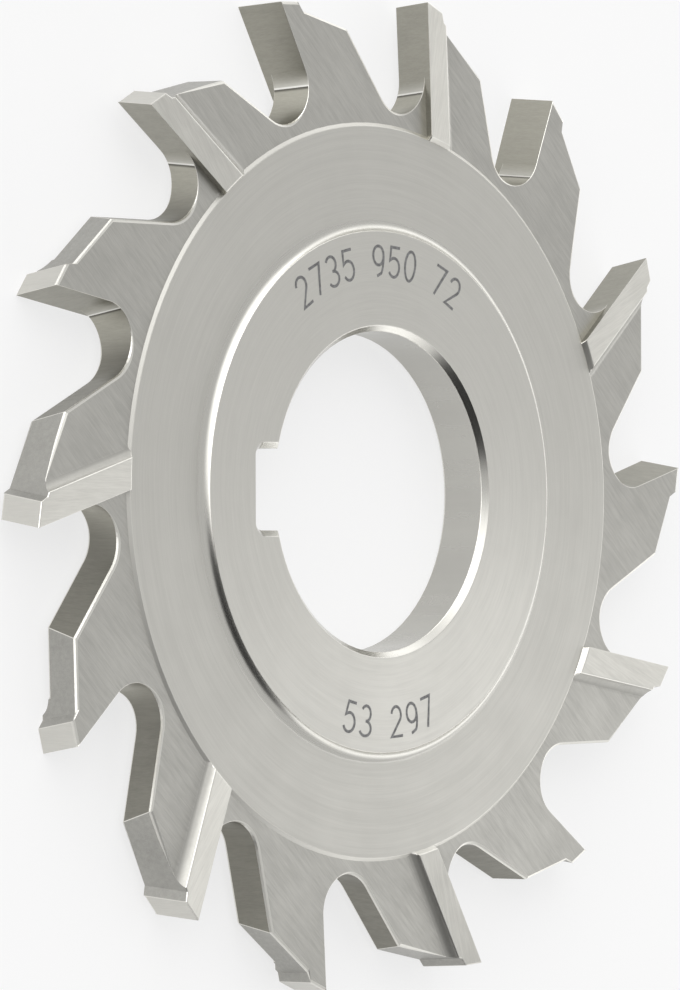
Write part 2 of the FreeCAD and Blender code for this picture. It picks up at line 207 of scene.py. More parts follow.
class Nodes:
    """Adds nodes to a tree and links them, so that a material reads as one formula."""

    def __init__(self, tree):
        self.tree = tree

    def put(self, value, socket):
        if isinstance(value, bpy.types.NodeSocket):
            self.tree.links.new(value, socket)
        else:
            socket.default_value = value

    def add(self, kind, inputs=(), **settings):
        node = self.tree.nodes.new(kind)
        for name, value in settings.items():
            setattr(node, name, value)
        for name, value in dict(inputs).items():
            self.put(value, node.inputs[name])
        return node

    def math(self, operation, *values, clamp=False):
        settings = {"operation": operation, "use_clamp": clamp}
        return self.add("ShaderNodeMath", enumerate(values), **settings).outputs[0]

    def vector(self, operation, *values):
        node = self.add("ShaderNodeVectorMath", enumerate(values), operation=operation)
        return node.outputs["Value" if operation in ("LENGTH", "DOT_PRODUCT") else "Vector"]

    def blend(self, first, share, second):
        """The share of the first value plus the rest of the second."""
        rest = self.math("MULTIPLY", second, 1.0 - share)
        return self.math("ADD", self.math("MULTIPLY", first, share), rest)

    def mix(self, factor, first, second):
        """A colour between two, as the factor goes from 0 to 1."""
        inputs = {"Factor": factor, "A": first, "B": second}
        return self.add("ShaderNodeMix", inputs, data_type="RGBA").outputs["Result"]

    def smooth(self, value, low, high, to_low=0.0, to_high=1.0):
        """From to_low to to_high as the value goes from low to high, easing in and out."""
        inputs = {
            "Value": value, "From Min": low, "From Max": high, "To Min": to_low, "To Max": to_high,
        }
        node = self.add("ShaderNodeMapRange", inputs, interpolation_type="SMOOTHSTEP")
        return node.outputs["Result"]

    def noise(self, place, scale, detail=2.0, roughness=0.5):
        """Noise from 0 to 1, whose coarsest grains number about the scale in a metre."""
        inputs = {"Vector": place, "Scale": scale, "Detail": detail, "Roughness": roughness}
        return self.add("ShaderNodeTexNoise", inputs).outputs["Fac"]

    def object_place(self):
        return self.add("ShaderNodeTexCoord").outputs["Object"]


def new_material(name):
    """An empty node material, and the means to fill it."""
    material = bpy.data.materials.new(name)
    material.use_nodes = True
    material.node_tree.nodes.clear()
    return material, Nodes(material.node_tree)


def add_object(name, data):
    """A new object in the scene, at the origin."""
    item = bpy.data.objects.new(name, data)
    bpy.context.scene.collection.objects.link(item)
    return item


# The steel


def grain_place(nodes, grain):
    """Where the grain's noise is read, so that it is long one way and short across.

    rings: the distance from the bore axis, so the marks run round it.
    spokes: the direction from the axis, so the marks run outwards.
    slanting: one direction across the disc, so the marks are parallel on all the teeth.
    cloud: the place itself, so the marks are grains.
    upright: the place in the plane of the disc, so the marks run along the bore axis.
    """
    place = nodes.object_place()
    flat = nodes.vector("MULTIPLY", place, (1.0, 1.0, 0.0))
    if grain == "rings":
        radius = nodes.vector("LENGTH", flat)
        around = (0.6 * MM, 0.6 * MM, 0.0)
        turn = nodes.vector("MULTIPLY", nodes.vector("NORMALIZE", flat), around)
        across = nodes.add("ShaderNodeCombineXYZ", {"Z": radius}).outputs[0]
        return nodes.vector("ADD", across, turn)
    if grain == "spokes":
        around = (40.0 * MM, 40.0 * MM, 0.0)
        outwards = nodes.vector("MULTIPLY", nodes.vector("NORMALIZE", flat), around)
        radius = nodes.math("MULTIPLY", nodes.vector("LENGTH", flat), 0.06)
        along = nodes.add("ShaderNodeCombineXYZ", {"Z": radius})
        return nodes.vector("ADD", outwards, along.outputs[0])
    if grain == "slanting":
        across = nodes.vector("DOT_PRODUCT", place, (0.68, 0.733, 0.0))
        along = nodes.vector("DOT_PRODUCT", place, (0.733 * 0.05, -0.68 * 0.05, 0.0))
        return nodes.add("ShaderNodeCombineXYZ", {"X": across, "Y": along, "Z": 0.0}).outputs[0]
    if grain == "cloud":
        return place
    return nodes.vector("MULTIPLY", place, (1.0, 1.0, 0.06))


def root_with_painted_light(nodes, colour, normal):
    """The colour and the normal of a gullet's root, with the end of the rake face's grinding.

    The wheel's corner leaves a hollow before GRINDING_END, whose depth grows with the square
    of the distance and bends the normal. Over the hollow the colour is lightened, a painted
    highlight, up to a thin painted bright line, and a thin line of painted shade follows.
    Past them the root is painted lighter beside the rake face and darker away from it.
    """
    place = nodes.add("ShaderNodeAttribute", attribute_name="rake_place").outputs["Vector"]
    split = nodes.add("ShaderNodeSeparateXYZ", {0: place}).outputs
    run, gap = split["X"], split["Y"]
    into_hollow = nodes.math("SUBTRACT", run, RAKE_LENGTH)
    near = nodes.math("DIVIDE", into_hollow, WHEEL_CORNER, clamp=True)
    on_rake_side = nodes.math("LESS_THAN", gap, 3.0 * MM)
    before = nodes.math("MULTIPLY", nodes.math("LESS_THAN", run, GRINDING_END), on_rake_side)
    hollow = nodes.math("MULTIPLY", nodes.math("MULTIPLY", near, near), before)
    # Painted highlight: a thin bright line just before the grinding end, and the hollow lightened
    # in colour.
    line = nodes.smooth(run, GRINDING_END - 0.22 * MM, GRINDING_END - 0.1 * MM)
    line = nodes.math("MULTIPLY", line, before)
    painted_hollow_sheen, painted_highlight_line = nodes.math("MULTIPLY", hollow, 0.4), nodes.math("MULTIPLY", line, 0.45)
    bright = nodes.mix(nodes.math("ADD", painted_hollow_sheen, painted_highlight_line), colour, (0.95, 0.94, 0.9, 1.0))
    # Painted light and shade: the root is lighter beside the rake face and darker away from it,
    # with a thin painted dark line past the grinding end.
    shade = nodes.smooth(gap, 0.5 * MM, 5.0 * MM, 1.25, 0.68)
    painted_shade_line = nodes.smooth(run, GRINDING_END + 0.08 * MM, GRINDING_END + 0.3 * MM, 0.35, 1.0)
    painted_light_and_shade = nodes.math("MAXIMUM", nodes.math("MULTIPLY", shade, painted_shade_line), before)
    painted_light_and_shade = nodes.add("ShaderNodeCombineXYZ", {"X": painted_light_and_shade, "Y": painted_light_and_shade, "Z": painted_light_and_shade})
    rise = {"Strength": 1.0, "Distance": 0.2 * MM, "Height": hollow, "Normal": normal}
    normal = nodes.add("ShaderNodeBump", rise).outputs["Normal"]
    return nodes.vector("MULTIPLY", bright, painted_light_and_shade.outputs[0]), normal


def ground_steel(name, colour, roughness, grain, scratch, spread, crease_and_painted_light=False, brushed=0.0):
    """Steel ground in one direction: fine marks in height, gloss and tone.

    scratch: how strongly the marks stand out in height. spread: how far their tone goes.
    The crease flag: whether the grinding of a rake face ends on this finish, which brings the
    root's painted highlights and shade.
    brushed: how far the gloss is drawn out across marks that run outwards from the axis.
    """
    material, nodes = new_material(name)
    place = grain_place(nodes, grain)
    fine = nodes.noise(place, 9000.0, 3.0, 0.6)
    coarse = nodes.noise(place, 2200.0, 2.0, 0.5)
    cloud = nodes.noise(nodes.object_place(), 160.0, 3.0, 0.6)
    marks = nodes.blend(fine, 0.6, coarse)
    tone = nodes.blend(marks, 0.7, cloud)
    dark = tuple(value * (1.0 - spread) for value in colour)
    light = tuple(min(1.0, value * (1.0 + spread)) for value in colour)
    base = nodes.mix(nodes.smooth(tone, 0.3, 0.7), (*dark, 1.0), (*light, 1.0))
    bump = {"Strength": scratch, "Distance": 0.004 * MM, "Height": marks}
    normal = nodes.add("ShaderNodeBump", bump).outputs["Normal"]
    # Where the grinding of a rake face ends, the root gets its hollow and its painted highlights
    # and shade.
    if crease_and_painted_light:
        base, normal = root_with_painted_light(nodes, base, normal)
    shader = nodes.add(
        "ShaderNodeBsdfPrincipled",
        {
            "Base Color": base,
            "Metallic": 1.0,
            "Roughness": nodes.smooth(tone, 0.3, 0.7, roughness + 0.04, roughness - 0.04),
            "Normal": normal,
        },
    )
    if brushed:
        turn = nodes.vector("CROSS_PRODUCT", (0.0, 0.0, 1.0), nodes.object_place())
        nodes.put(nodes.vector("NORMALIZE", turn), shader.inputs["Tangent"])
        nodes.put(brushed, shader.inputs["Anisotropic"])
    nodes.add("ShaderNodeOutputMaterial", {"Surface": shader.outputs["BSDF"]})
    return material


# The colour of each finish and its share, its roughness, its grain, its scratch and spread.
# The shares paint light and shade on the same steel: the lighter slope, side lands and
# broken edges are painted highlights. The darker feet and gullet backs, and the gullet
# colour under the rake faces and roots, are painted shade.
LOOKS = {
    "hub": ("steel", 1.05, 0.32, "rings", 0.3, 0.05),
    "ring": ("steel", 0.97, 0.4, "rings", 0.3, 0.05),
    # Painted highlight: the ring's slope is lighter than the ring.
    "slope": ("steel", 1.05, 0.42, "rings", 0.2, 0.03),
    "fillet": ("steel", 1.0, 0.26, "rings", 0.1, 0.03),
    "tooth_side": ("steel", 0.8, 0.4, "slanting", 0.7, 0.13),
    # Painted highlight: the side lands are lighter than the steel.
    "side_land": ("steel", 1.25, 0.48, "spokes", 0.5, 0.08),
    # Painted shade: the foot beside each side land is darker.
    "foot": ("steel", 0.72, 0.47, "cloud", 0.2, 0.04),
    "tooth_land": ("steel", 1.0, 0.4, "upright", 0.4, 0.05),
    "rake": ("gullet", 0.82, 0.4, "upright", 0.5, 0.08),
    "root": ("gullet", 0.82, 0.4, "upright", 0.5, 0.08),
    # Painted shade: the back of each gullet is darker still.
    "gullet_back": ("gullet", 0.57, 0.42, "upright", 0.5, 0.1),
    "back": ("steel", 0.61, 0.42, "cloud", 0.5, 0.12),
    "bore": ("steel", 0.8, 0.28, "rings", 0.3, 0.04),
    "chamfer": ("steel", 1.0, 0.2, "rings", 0.1, 0.03),
    # Painted highlight: the broken edges are lighter than the steel.
    "edge": ("steel", 1.2, 0.34, "upright", 0.1, 0.03),
}
# The root's grinding end brings its painted highlights and shade.
EXTRAS = {"root": {"crease_and_painted_light": True}, "side_land": {"brushed": 0.8}}
FINISHES = tuple(LOOKS)
CURVED = ("fillet", "slope", "foot", "root", "gullet_back", "bore", "chamfer")


def finish_material(name, colours):
    """The material of one finish, from its row of LOOKS and the user's colours."""
    base, share, *marks = LOOKS[name]
    colour = tuple(share * value for value in getattr(colours, base))
    return ground_steel("%s_steel" % name, colour, *marks, **EXTRAS.get(name, {}))


# The cutter


def read(collection, name, width=1, kind=np.float32):
    """One property of all the items of a mesh collection, as an array."""
    values = np.empty(len(collection) * width, kind)
    collection.foreach_get(name, values)
    return values.reshape(-1, width) if width > 1 else values


def on_fillet(face):
    """Whether a face lies on the hub's fillet, whose triangles merged_copy turns."""
    radii = [hypot(point.co.x, point.co.y) for point in face.verts]
    between = HUB_RADIUS - NEAR < min(radii) and max(radii) < FILLET_CENTRE[0] + NEAR
    above = min(abs(point.co.z) for point in face.verts) > RING_HEIGHT - NEAR
    return between and above and abs(face.normal.z) < 0.9999


def merged_copy(node, name):
    """A copy of a CAD node whose loose triangles are joined into whole faces.

    On the hub's fillet the diagonals between triangles are first turned to bend the least.
    They are listed in the mesh's own order, so that each run gives the same result. The
    hub's two faces move inwards by MARK_DEPTH, to leave room for the numbers.
    """
    mesh = bpy.data.meshes.new(name)
    shell = bmesh.new()
    shell.from_mesh(node.data)
    bmesh.ops.remove_doubles(shell, verts=shell.verts, dist=WELDED_WITHIN)
    fillet = [face for face in shell.faces if on_fillet(face)]
    inner = [edge for edge in shell.edges if all(map(on_fillet, edge.link_faces))]
    bmesh.ops.beautify_fill(shell, faces=fillet, edges=inner, method="ANGLE")
    bmesh.ops.dissolve_limit(
        shell, angle_limit=FLAT_WITHIN, use_dissolve_boundaries=False,
        verts=shell.verts, edges=shell.edges,
    )
    shell.to_mesh(mesh)
    shell.free()
    points = read(mesh.vertices, "co", 3)
    on_hub = np.hypot(points[:, 0], points[:, 1]) < HUB_RADIUS + 0.1 * MM
    on_hub &= np.abs(points[:, 2]) > HUB_HEIGHT - 0.001 * MM
    points[on_hub, 2] *= 1.0 - MARK_DEPTH / HUB_HEIGHT
    mesh.vertices.foreach_set("co", points.ravel())
    mesh.update()
    if mesh.has_custom_normals:
        mesh.attributes.remove(mesh.attributes["custom_normal"])
    return mesh


def rake_places(points):
    """How far each point lies below the cutting edge along its tooth's rake face, and off it.

    The point moves back along the lean of its tooth into the middle plane, and is turned
    to the tooth's axes, with x where the tooth trails away and y outwards through the
    cutting edge: run = x sin(rake) + (tip radius - y) cos(rake), and
    gap = (tip radius - y) sin(rake) - x cos(rake). A point belongs to the tooth whose rake
    face bounds its gullet. The third column is zero, because the attribute holds vectors.
    """
    turn = np.arctan2(points[:, 1], points[:, 0])
    tooth = np.floor((turn - FIRST_TOOTH + GULLET_BEHIND) * TEETH / tau)
    angle = FIRST_TOOTH + tooth * tau / TEETH
    side = np.where(tooth % 2 == 0, 1.0, -1.0)
    ahead = np.stack([-np.sin(angle), np.cos(angle)], 1)
    out = np.stack([np.cos(angle), np.sin(angle)], 1)
    flat = points[:, :2] - (points[:, 2] * side * np.tan(HELIX))[:, None] * ahead
    x, down = -(flat * ahead).sum(1), TIP_RADIUS - (flat * out).sum(1)
    run, gap = x * sin(RAKE) + down * cos(RAKE), down * sin(RAKE) - x * cos(RAKE)
    return np.column_stack([run, gap, np.zeros(len(run))])


def edges_between_faces(mesh):
    """Each edge's number, its direction in its first face, its middle and both normals.

    The mesh is closed, so the corners sorted by their edges lie in pairs, one for each face.
    """
    points = read(mesh.vertices, "co", 3)
    ends = read(mesh.edges, "vertices", 2, np.int32)
    normals = read(mesh.polygons, "normal", 3)
    totals = read(mesh.polygons, "loop_total", 1, np.int32)
    loop_edge = read(mesh.loops, "edge_index", 1, np.int32)
    loop_point = read(mesh.loops, "vertex_index", 1, np.int32)
    loop_face = np.repeat(np.arange(len(totals)), totals)
    order = np.argsort(loop_edge, kind="stable")
    first, second = order[0::2], order[1::2]
    edge = loop_edge[first]
    along = points[ends[edge, 1]] - points[ends[edge, 0]]
    along *= np.where(loop_point[first] == ends[edge, 0], 1.0, -1.0)[:, None]
    middle = (points[ends[edge, 0]] + points[ends[edge, 1]]) / 2
    return edge, along, middle, normals[loop_face[first]], normals[loop_face[second]]


def edge_widths(mesh, sizes):
    """How far to break each edge, from what its two faces are.

    An edge counts if its faces turn by more than SHARP_TURN and the metal lies inside the
    corner: n0 . (n1 x d) is above 0, with d the edge's direction in its first face. Along
    the round root of a gullet the width grows smoothly from the rake face to the back, as
    t t (3 - 2 t), with t from 0 to 1 as the wall turns away from the cut.
    """
    edge, along, middle, n0, n1 = edges_between_faces(mesh)
    sharp = (n0 * n1).sum(1) < cos(SHARP_TURN)
    outside = (n0 * np.cross(n1, along)).sum(1) > 0.0
    height, radius = np.abs(middle[:, 2]), np.hypot(middle[:, 0], middle[:, 1])
    outwards = middle[:, :2] / radius[:, None]
    wall = np.where((np.abs(n0[:, 2]) > 0.9)[:, None], n1, n0)
    lead = wall[:, 1] * outwards[:, 0] - wall[:, 0] * outwards[:, 1]
    leading, step = lead > LEADING, (lead < TRAILING) & (radius > STEP_FROM)
    level = np.abs(along[:, 2]) < 2.0 * NEAR
    on_tooth = level & (np.abs(height - TOOTH_HEIGHT) < 2.0 * NEAR) & (radius > RING_RADIUS)
    on_land = (height > RING_HEIGHT) & (radius > RING_RADIUS) & ~leading
    width = np.full(len(edge), sizes.fine_edge, np.float32)
    width[on_land] = sizes.land_edge
    t = np.clip(LEADING - lead, 0.0, 1.0)
    fading = sizes.fine_edge + (sizes.gullet_edge - sizes.fine_edge) * t * t * (3.0 - 2.0 * t)
    fading[radius > ROOT_TO] = sizes.gullet_edge
    round_gullet = on_tooth & ~leading & ~step
    width[round_gullet] = fading[round_gullet]
    short = (np.linalg.norm(along, axis=1) < SHORT_EDGE) & ~round_gullet
    width[short | ~(sharp & outside)] = 0.0
    result = np.zeros(len(mesh.edges), np.float32)
    result[edge] = width
    return result


def face_finishes(mesh):
    """Which finish each face has, from where it lies and where it looks.

    up, out and lead are the shares of its normal that look along the bore axis, away from
    it and ahead, the way the teeth cut. Where two rules fit, the later one holds.
    """
    centre = read(mesh.polygons, "center", 3)
    normal = read(mesh.polygons, "normal", 3)
    radius = np.hypot(centre[:, 0], centre[:, 1])
    outwards = centre[:, :2] / np.maximum(radius, 1e-9)[:, None]
    height, up = np.abs(centre[:, 2]), np.abs(normal[:, 2])
    out = (normal[:, :2] * outwards).sum(1)
    lead = normal[:, 1] * outwards[:, 0] - normal[:, 0] * outwards[:, 1]
    flat = up > 0.95
    toothed = radius > TEETH_FROM
    run = rake_places(centre)[:, 0]
    large = read(mesh.polygons, "area") > RAKE_FACE_AREA
    on_rake = (lead > cos(RAKE) * cos(HELIX) - 0.02) & (out < 0.0) & large
    on_back = (lead < 0.3) & (radius > BACK_FROM) & ((out > 0.8) | (radius > ONLY_BACK_FROM))
    on_arc = (radius > HUB_RADIUS) & (radius < FILLET_CENTRE[0]) & (height > RING_HEIGHT)
    at_hub_height = height > HUB_HEIGHT - 2.0 * MARK_DEPTH
    rules = (
        ("gullet_back", toothed),
        ("root", toothed & (run > RAKE_LENGTH - 0.05 * MM)),
        ("rake", toothed & on_rake),
        ("back", toothed & on_back),
        ("tooth_land", toothed & (out > 0.9) & (radius > LAND_FROM)),
        ("foot", toothed & (height > TOOTH_HEIGHT + 0.003 * MM) & (up > 0.3)),
        ("slope", toothed & (radius < SLOPE_TO) & (height > TOOTH_HEIGHT) & (up > 0.5)),
        ("side_land", toothed & flat & (height > RING_HEIGHT)),
        ("tooth_side", toothed & flat & (height < RING_HEIGHT)),
        ("ring", ~toothed & (height < RING_HEIGHT + NEAR) & (up > 0.5)),
        ("fillet", on_arc & (up < 0.99999)),
        ("hub", flat & at_hub_height & (radius < HUB_RADIUS)),
        ("bore", (radius < BORE_TO) & (up < 0.3)),
        ("chamfer", (radius < CHAMFER_TO) & (up > 0.3) & (up < 0.95)),
    )
    result = np.zeros(len(mesh.polygons), np.int32)
    for finish, where in rules:
        result[where] = FINISHES.index(finish)
    return result


def turned_normals(mesh, finish):
    """The shading normals of the mesh, with the exact ones on the hub's fillet and in the bore.

    On the fillet they point from the surface to the middle of its arc, which lies at
    FILLET_CENTRE (distance from the axis, height). In the round bore they point to the axis.
    """
    normals = read(mesh.corner_normals, "vector", 3)
    corner = read(mesh.vertices, "co", 3)[read(mesh.loops, "vertex_index", 1, np.int32)]
    kind = np.repeat(finish, read(mesh.polygons, "loop_total", 1, np.int32))
    radius = np.hypot(corner[:, 0], corner[:, 1])
    outwards = corner[:, :2] / radius[:, None]
    fillet = kind == FINISHES.index("fillet")
    run = np.maximum(FILLET_CENTRE[0] - radius, 0.0)
    rise = FILLET_CENTRE[1] - np.abs(corner[:, 2])
    exact = np.column_stack([outwards * run[:, None], np.sign(corner[:, 2]) * rise])
    exact /= np.linalg.norm(exact, axis=1)[:, None]
    normals[fillet] = exact[fillet]
    bore = (kind == FINISHES.index("bore")) & (radius < ROUND_BORE_TO)
    normals[bore] = np.column_stack([-outwards, np.zeros(len(radius))])[bore]
    return normals


def with_broken_edges(mesh, widest):
    """The mesh with its weighted edges cut off, and which of its faces the cuts made."""
    for index in range(2):
        mesh.materials.append(bpy.data.materials.new("face_%d" % index))
    sharp = add_object("sharp_cutter", mesh)
    bevel = sharp.modifiers.new("broken_edges", "BEVEL")
    bevel.limit_method = "WEIGHT"
    bevel.width = widest
    bevel.segments = 2
    bevel.use_clamp_overlap = False
    bevel.loop_slide = False
    bevel.material = 1
    depsgraph = bpy.context.evaluated_depsgraph_get()
    result = bpy.data.meshes.new_from_object(sharp.evaluated_get(depsgraph))
    result.name = "ground_cutter"
    broken = read(result.polygons, "material_index", 1, np.int32) == 1
    spare = list(result.materials)
    result.materials.clear()
    bpy.data.objects.remove(sharp)
    bpy.data.meshes.remove(mesh)
    for material in spare:
        bpy.data.materials.remove(material)
    return result, broken


class CUTTER_OT_body(bpy.types.Operator):
    """Dresses the solid: joins its faces, breaks its edges and gives each face its finish"""

    bl_idname = "cutter.body"
    bl_label = "Cutter"

    def execute(self, context):
        mesh = merged_copy(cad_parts[NODE], "ground_cutter")
        widths = edge_widths(mesh, context.scene.cutter_edges)
        widest = float(widths.max())
        weight = mesh.attributes.new("bevel_weight_edge", "FLOAT", "EDGE")
        weight.data.foreach_set("value", widths / widest)
        mesh, broken = with_broken_edges(mesh, widest)
        finish = face_finishes(mesh)
        # The broken edges take the lighter edge finish, a painted highlight.
        finish[broken] = FINISHES.index("edge")
        places = rake_places(read(mesh.vertices, "co", 3)).astype(np.float32)
        attribute = mesh.attributes.new("rake_place", "FLOAT_VECTOR", "POINT")
        attribute.data.foreach_set("vector", places.ravel())
        for name in FINISHES:
            mesh.materials.append(finish_material(name, context.scene.cutter_finish))
        mesh.polygons.foreach_set("material_index", finish)
        mesh.set_sharp_from_angle(angle=SHARP_TURN)
        curved = np.isin(finish, [FINISHES.index(name) for name in CURVED])
        mesh.polygons.foreach_set("use_smooth", curved)
        mesh.normals_split_custom_set(turned_normals(mesh, finish).tolist())
        cutter = add_object("ground_cutter", mesh)
        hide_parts(NODE)
        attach(cutter, "root")
        return {"FINISHED"}


# The numbers


# In heights of a numeral: its stroke, the way to the next one, the part of it that is the
# gap between them, and a space
STROKE_WIDTH = 0.1
NUMERAL_STEP = 0.82
NUMERAL_GAP = 0.22
SPACE_STEP = 0.75

# The share of the mark's depth at which the first and the second stroke of a numeral lie
STROKE_DEPTHS = (0.2, 0.5)


def arc(x, y, wide, high, start, end, steps=10):
    """Points on part of an ellipse about (x, y), from one angle to another in degrees."""
    turn = np.radians(np.linspace(start, end, steps + 1))
    return np.column_stack([x + wide * np.cos(turn), y + high * np.sin(turn)])


def numeral(digit):
    """The strokes of a plain numeral, 0.6 wide and 1 high, each a list of points."""
    flag = [(0.54, 1.0), (0.12, 1.0), (0.07, 0.55)]
    return {
        "0": [arc(0.3, 0.5, 0.26, 0.5, 90, 450, 24)],
        "2": [np.vstack([arc(0.3, 0.72, 0.25, 0.28, 170, -35), [(0.04, 0.0), (0.58, 0.0)]])],
        "3": [arc(0.28, 0.74, 0.24, 0.26, 150, -80, 12), arc(0.28, 0.25, 0.28, 0.25, 90, -155, 14)],
        "5": [np.vstack([flag, arc(0.28, 0.32, 0.28, 0.32, 115, -150, 14)])],
        "7": [np.array([(0.04, 1.0), (0.56, 1.0), (0.2, 0.0)])],
        "9": [
            arc(0.3, 0.68, 0.26, 0.32, 0, 360, 18),
            np.vstack([arc(0.3, 0.66, 0.26, 0.66, 0, -60, 8), [(0.2, 0.0)]]),
        ],
    }[digit]


def ribbon(points, width):
    """A flat strip along a stroke: each point moves half the width to both sides.

    It moves along the mean of the two neighbouring segments' normals, divided by the
    cosine of half their bend, so that the strip keeps its width round corners.
    """
    ahead = np.diff(points, axis=0)
    ahead /= np.linalg.norm(ahead, axis=1)[:, None]
    closed = np.allclose(points[0], points[-1])
    before = np.vstack([ahead[-1:] if closed else ahead[:1], ahead])
    after = np.vstack([ahead, ahead[:1] if closed else ahead[-1:]])
    mean = before + after
    mean /= np.linalg.norm(mean, axis=1)[:, None]
    reach = width / 2 / np.maximum((mean * after).sum(1), 0.5)
    left = np.column_stack([-mean[:, 1], mean[:, 0]]) * reach[:, None]
    count = np.arange(len(points) - 1)
    faces = np.column_stack([2 * count, 2 * count + 1, 2 * count + 3, 2 * count + 2])
    return np.stack([points + left, points - left], 1).reshape(-1, 2), faces


def number_row(text, height, radius, middle, top_outwards):
    """The strips of a row of numerals, bent round the bore axis.

    Along the row the angle changes by distance / radius, and up the numeral the distance
    from the axis grows, or shrinks where the numerals are read from the other side. Each
    stroke of a numeral has its own share of the mark's depth, so that strokes may cross.
    """
    places, faces, levels, start, pen = [], [], [], 0, 0.0
    for sign in text:
        if sign == " ":
            pen += SPACE_STEP * height
            continue
        for depth, stroke in zip(STROKE_DEPTHS, numeral(sign)):
            points, quads = ribbon(stroke * height, STROKE_WIDTH * height)
            levels.append(np.full(len(points), depth))
            places.append(points + (pen, 0.0))
            faces.append(quads + start)
            start += len(points)
        pen += NUMERAL_STEP * height
    flat = np.vstack(places)
    along, up = flat[:, 0] - (pen - NUMERAL_GAP * height) / 2, flat[:, 1] - height / 2
    turn = middle - along / radius if top_outwards else middle + along / radius
    reach = radius + up if top_outwards else radius - up
    flat = np.column_stack([reach * np.cos(turn), reach * np.sin(turn)])
    return flat, np.vstack(faces), np.concatenate(levels)


def marked_steel():
    """Steel darkened by a laser, as fine grains of two greys."""
    material, nodes = new_material("laser_mark")
    shade = nodes.smooth(nodes.noise(nodes.object_place(), 3000.0), 0.35, 0.65, 0.16, 0.26)
    grey = nodes.add("ShaderNodeCombineColor", {0: shade, 1: shade, 2: shade}).outputs[0]
    look = {"Base Color": grey, "Metallic": 0.6, "Roughness": 0.55}
    shader = nodes.add("ShaderNodeBsdfPrincipled", look)
    nodes.add("ShaderNodeOutputMaterial", {"Surface": shader.outputs["BSDF"]})
    return material


class CUTTER_OT_numbers(bpy.types.Operator):
    """Marks the hub with plain numbers, as a laser would"""

    bl_idname = "cutter.numbers"
    bl_label = "Numbers"

    def execute(self, context):
        values = context.scene.cutter_numbers
        rows = (
            (values.upper_row, radians(92.0), True),
            (values.lower_row, radians(271.5), False),
        )
        points, faces, levels, start = [], [], [], 0
        for text, middle, top_outwards in rows:
            row = number_row(text, values.height, values.radius, middle, top_outwards)
            places, quads, level = row
            points.append(places)
            levels.append(level)
            faces.append(quads + start)
            start += len(places)
        heights = HUB_HEIGHT - MARK_DEPTH * np.concatenate(levels)
        solid = np.column_stack([np.vstack(points), heights])
        mesh = bpy.data.meshes.new("hub_numbers")
        mesh.from_pydata(solid.tolist(), [], np.vstack(faces).tolist())
        mesh.materials.append(marked_steel())
        marks = add_object("hub_numbers", mesh)
        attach(marks, "root")
        return {"FINISHED"}


# The stage


# The photo's camera, found by matching the model to it: its axes as columns (right, up,
# back), its place in millimetres and its focal length as a share of the frame's height
CAMERA_AXES = (
    (0.6506404509, -0.0133793961, -0.7592680656),
    (-0.0033395553, 0.9997846973, -0.0204794142),
    (0.7593785953, 0.0158603530, 0.6504556851),
)
CAMERA_PLACE = (-426.81438532, -11.76260916, 362.78548831)
FOCAL_SHARE = 5600.0 / 990.0
SENSOR_WIDTH = 36.0

# The floor: a disc with this radius in metres and this many corners
FLOOR_RADIUS = 20.0
FLOOR_CORNERS = 96

# The studio's two screens: the direction to the middle of each
BRIGHT_SCREEN = (-0.637, 0.759, 0.139)
DARK_SCREEN = (-0.48, -0.78, 0.4)

# The card that lights the hub: its place and its target in millimetres, and its width
CARD_PLACE = (127.0, -32.0, 97.0)
CARD_TARGET = (8.0, -24.0, 3.0)
CARD_WIDTH = 60.0 * MM


def add_camera(scene):
    """The photo's camera."""
    camera = add_object("camera", bpy.data.cameras.new("camera"))
    camera.data.sensor_width = SENSOR_WIDTH
    camera.data.lens = FOCAL_SHARE * SENSOR_WIDTH
    camera.data.clip_start, camera.data.clip_end = 0.01, 100.0
    place = Vector(CAMERA_PLACE) * MM
    camera.matrix_world = Matrix.Translation(place) @ Matrix(CAMERA_AXES).to_4x4()
    scene.camera = camera


def pale_floor(stage):
    """A matt floor that camera, gloss and glass see partly as plain white.

    The share is the stage's whiteness, and the rest of it keeps the shadow.
    """
    material, nodes = new_material("pale_floor")
    matt = {"Base Color": (*stage.floor_colour, 1.0), "Roughness": 0.9, "Specular IOR Level": 0.1}
    shader = nodes.add("ShaderNodeBsdfPrincipled", matt)
    ray = nodes.add("ShaderNodeLightPath").outputs
    seen = nodes.math("MAXIMUM", ray["Is Camera Ray"], ray["Is Glossy Ray"])
    seen = nodes.math("MAXIMUM", seen, ray["Is Transmission Ray"])
    share = nodes.math("MULTIPLY", seen, stage.whiteness)
    white = nodes.add("ShaderNodeEmission", {"Color": (1.0, 1.0, 1.0, 1.0), "Strength": 1.0})
    both = {0: share, 1: shader.outputs["BSDF"], 2: white.outputs[0]}
    backdrop = nodes.add("ShaderNodeMixShader", both)
    nodes.add("ShaderNodeOutputMaterial", {"Surface": backdrop.outputs["Shader"]})
    return material


def add_floor(stage):
    """A wide round floor under the cutter."""
    turn = np.arange(FLOOR_CORNERS) * tau / FLOOR_CORNERS
    x, y = FLOOR_RADIUS * np.cos(turn), FLOOR_RADIUS * np.sin(turn)
    rim = np.column_stack([x, y, np.full(FLOOR_CORNERS, FLOOR_Z)])
    mesh = bpy.data.meshes.new("floor")
    mesh.from_pydata(rim.tolist(), [], [list(range(FLOOR_CORNERS))])
    mesh.materials.append(pale_floor(stage))
    floor = add_object("floor", mesh)


